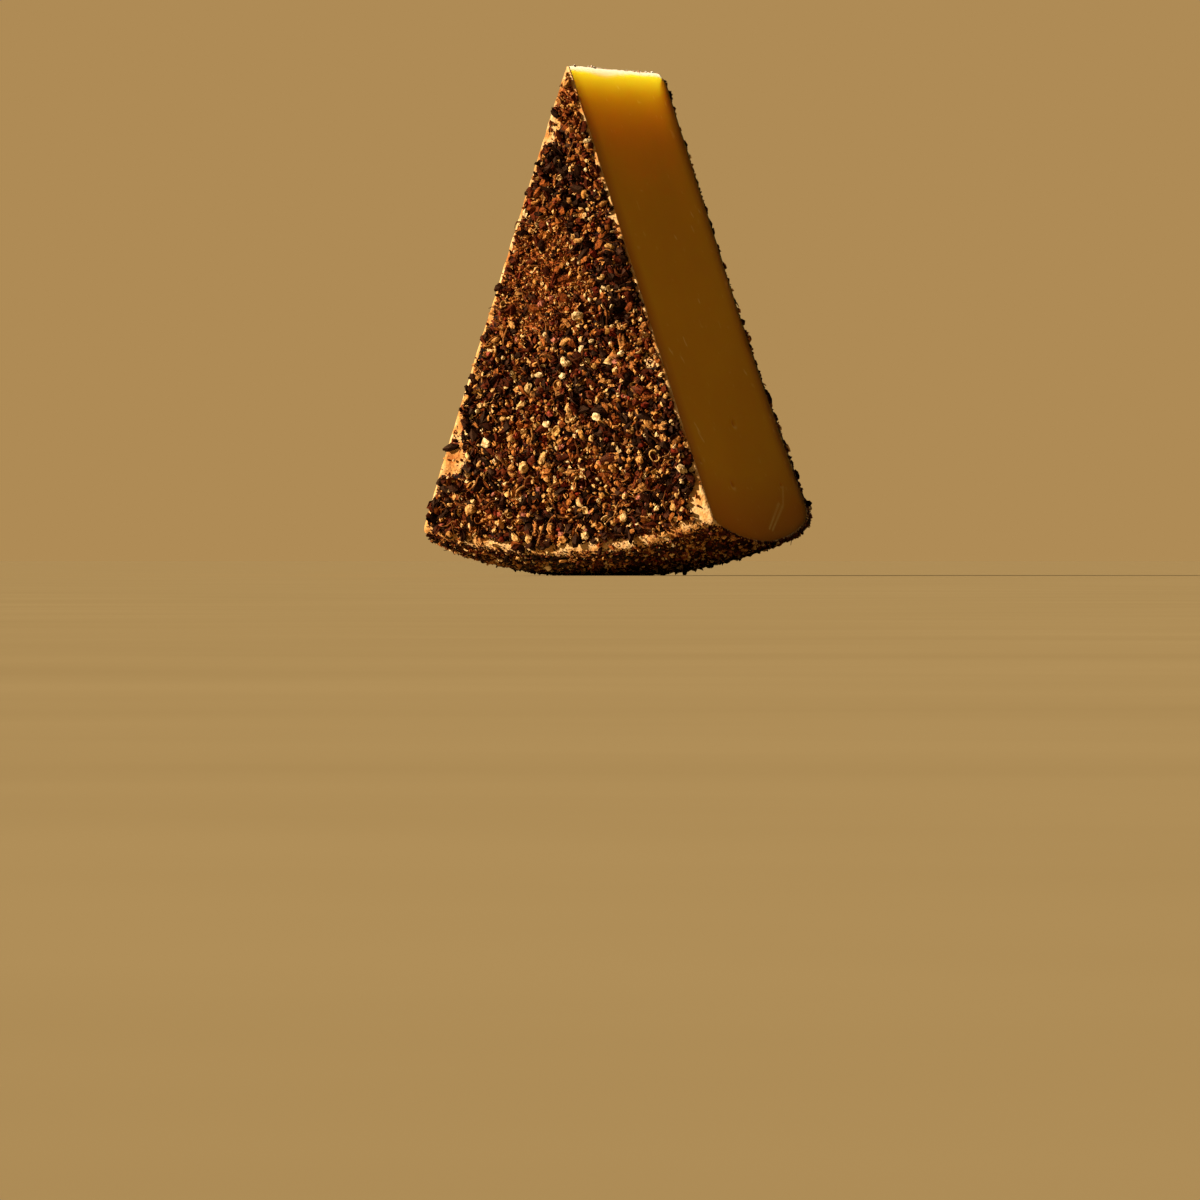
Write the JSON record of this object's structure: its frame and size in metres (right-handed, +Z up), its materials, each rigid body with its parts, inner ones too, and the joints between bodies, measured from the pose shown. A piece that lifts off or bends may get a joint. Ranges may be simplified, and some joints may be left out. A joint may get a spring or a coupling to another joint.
{
  "type": "cheese wedge",
  "caption": "Tall wedge of hard cheese standing on its rounded heel, amber cut faces, with a coarse cracked-pepper coat on both flat faces and the heel.",
  "frame": {"origin": "on the surface that the wedge stands on, below the middle of its bounding box", "axes": "+Z up towards the tip, Y along the axis of the wheel the wedge was cut from with the coated front face to -Y, +X to the side of the right cut face"},
  "size_m": [0.1034, 0.0784, 0.1572],
  "materials": {
    "cheese_paste": "smooth cut paste, faintly waxy and translucent",
    "pepper_coat": "rough, cracked pepper pressed into an orange-brown rind"
  },
  "bodies": {
    "root": {"cheese_wedge": "cheese_paste"}
  },
  "joints": []
}
